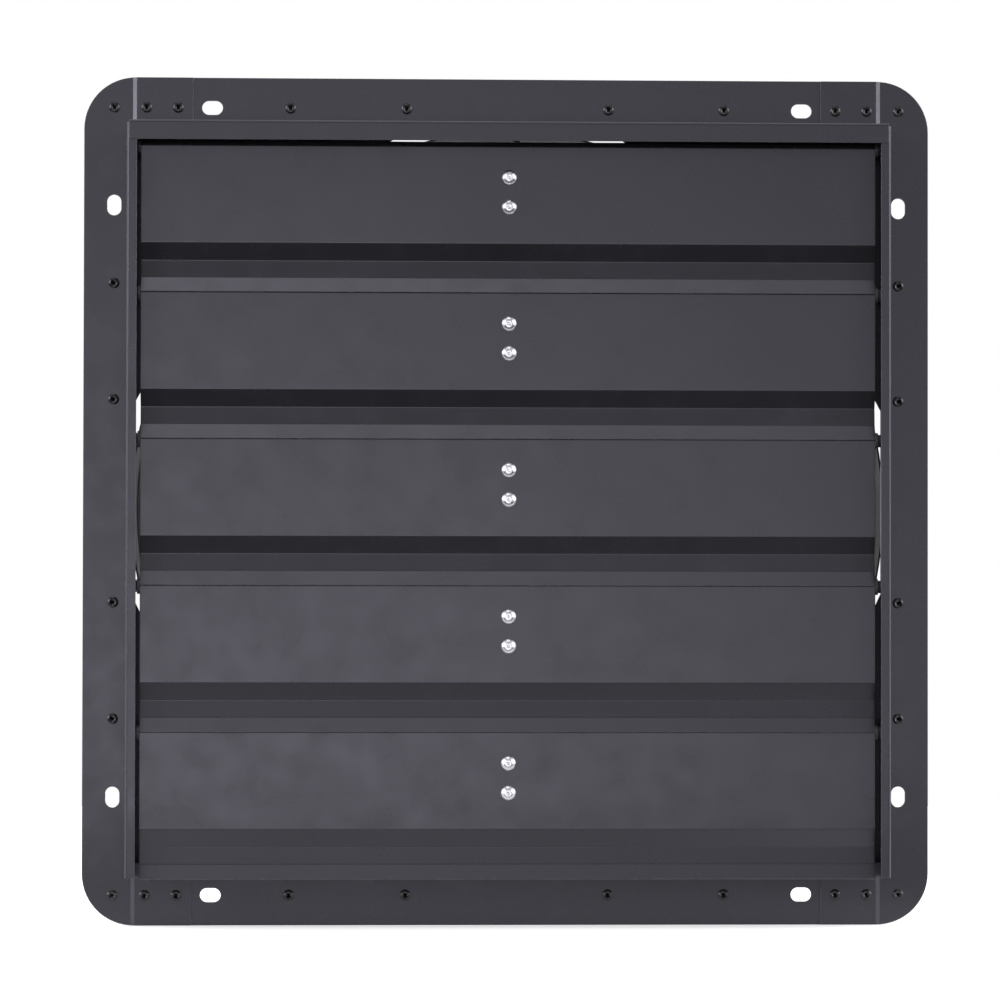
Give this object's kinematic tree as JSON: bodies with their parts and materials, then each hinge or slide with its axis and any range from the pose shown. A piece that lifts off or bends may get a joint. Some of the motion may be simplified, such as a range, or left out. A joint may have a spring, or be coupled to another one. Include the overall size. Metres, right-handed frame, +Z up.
{
  "type": "shutter exhaust fan",
  "caption": "Square wall exhaust fan: folded flange frame with linked gravity louvres in front, a drum with motor and blades behind, and a wire guard at the rear.",
  "frame": {"origin": "middle of the mounting flange, on the wall's face", "axes": "+X right as seen from the shutter side, +Y from the shutters into the room, +Z up"},
  "size_m": [0.51, 0.2345, 0.51],
  "materials": {
    "frame_black": "satin black powder coat",
    "louvre_black": "satin black powder coat",
    "drum_black": "satin black powder coat",
    "rivet_black": "semi-gloss black",
    "bright_aluminium": "bare aluminium, lightly polished",
    "blade_aluminium": "mill finish aluminium sheet",
    "plated_steel": "zinc plated",
    "lamination_steel": "bare laminations",
    "motor_enamel": "gloss black enamel",
    "winding_copper": "enamelled copper wire",
    "guard_black": "black dip coat",
    "black_nylon": "moulded nylon",
    "black_rubber": "moulded rubber",
    "capacitor_case": "moulded case"
  },
  "bodies": {
    "frame": {"side_rail_left": "frame_black", "side_rail_right": "frame_black", "top_rail": "frame_black", "bottom_rail": "frame_black", "gusset_top_left": "frame_black", "gusset_top_right": "frame_black", "gusset_bottom_left": "frame_black", "gusset_bottom_right": "frame_black", "flange_rivets": "rivet_black", "drum_rivets": "rivet_black", "drum": "drum_black", "pivot_bushes": "black_nylon", "motor_front_bell": "motor_enamel", "motor_rear_bell": "motor_enamel", "motor_shell": "motor_enamel", "stator_core": "lamination_steel", "stator_windings": "winding_copper", "front_bearing": "plated_steel", "rear_bearing": "plated_steel", "through_bolts": "plated_steel", "mount_spacers": "black_rubber", "rear_guard": "guard_black", "guard_screws": "plated_steel", "terminal_box": "black_nylon", "terminal_cover": "black_nylon", "cover_screws": "plated_steel", "cable_gland": "black_nylon", "run_capacitor": "capacitor_case"},
    "rotor": {"fan_hub": "plated_steel", "hub_set_screw": "plated_steel", "blade_rivets": "bright_aluminium", "motor_shaft": "plated_steel", "rotor_core": "lamination_steel", "fan_blade_1": "blade_aluminium", "fan_blade_2": "blade_aluminium", "fan_blade_3": "blade_aluminium", "fan_blade_4": "blade_aluminium"},
    "tie_bar": {"tie_bar": "bright_aluminium", "tie_bar_pins": "plated_steel"},
    "louvre_1": {"louvre_1": "louvre_black", "louvre_1_end_plugs": "black_nylon", "louvre_1_rivets": "bright_aluminium", "louvre_1_link_bracket": "bright_aluminium"},
    "louvre_2": {"louvre_2": "louvre_black", "louvre_2_end_plugs": "black_nylon", "louvre_2_rivets": "bright_aluminium", "louvre_2_link_bracket": "bright_aluminium"},
    "louvre_3": {"louvre_3": "louvre_black", "louvre_3_end_plugs": "black_nylon", "louvre_3_rivets": "bright_aluminium", "louvre_3_link_bracket": "bright_aluminium"},
    "louvre_4": {"louvre_4": "louvre_black", "louvre_4_end_plugs": "black_nylon", "louvre_4_rivets": "bright_aluminium", "louvre_4_link_bracket": "bright_aluminium"},
    "louvre_5": {"louvre_5": "louvre_black", "louvre_5_end_plugs": "black_nylon", "louvre_5_rivets": "bright_aluminium", "louvre_5_link_bracket": "bright_aluminium"}
  },
  "joints": [
    {"name": "fan_spin", "type": "hinge", "parent": "frame", "child": "rotor", "pos_m": [0.0008, 0, -0.0041], "axis": [0, -1, 0], "continuous": true},
    {"name": "louvre_1_hinge", "type": "hinge", "parent": "frame", "child": "louvre_1", "pos_m": [0, -0.028, 0.2109], "axis": [-1, 0, 0], "range_deg": [0, 70]},
    {"name": "louvre_2_hinge", "type": "hinge", "parent": "frame", "child": "louvre_2", "pos_m": [0, -0.028, 0.1236], "axis": [-1, 0, 0], "range_deg": [0, 70]},
    {"name": "louvre_3_hinge", "type": "hinge", "parent": "frame", "child": "louvre_3", "pos_m": [0, -0.028, 0.0363], "axis": [-1, 0, 0], "range_deg": [0, 70]},
    {"name": "louvre_4_hinge", "type": "hinge", "parent": "frame", "child": "louvre_4", "pos_m": [0, -0.028, -0.051], "axis": [-1, 0, 0], "range_deg": [0, 70]},
    {"name": "louvre_5_hinge", "type": "hinge", "parent": "frame", "child": "louvre_5", "pos_m": [0, -0.028, -0.1383], "axis": [-1, 0, 0], "range_deg": [0, 70]},
    {"name": "tie_bar_pivot", "type": "hinge", "parent": "louvre_1", "child": "tie_bar", "pos_m": [0, -0.00675, 0.21659], "axis": [-1, 0, 0], "range_deg": [-70, 0]}
  ],
  "couplings": [
    {"joint": "louvre_2_hinge", "follows": "louvre_1_hinge", "ratio": 1},
    {"joint": "louvre_3_hinge", "follows": "louvre_1_hinge", "ratio": 1},
    {"joint": "louvre_4_hinge", "follows": "louvre_1_hinge", "ratio": 1},
    {"joint": "louvre_5_hinge", "follows": "louvre_1_hinge", "ratio": 1},
    {"joint": "tie_bar_pivot", "follows": "louvre_1_hinge", "ratio": -1}
  ]
}
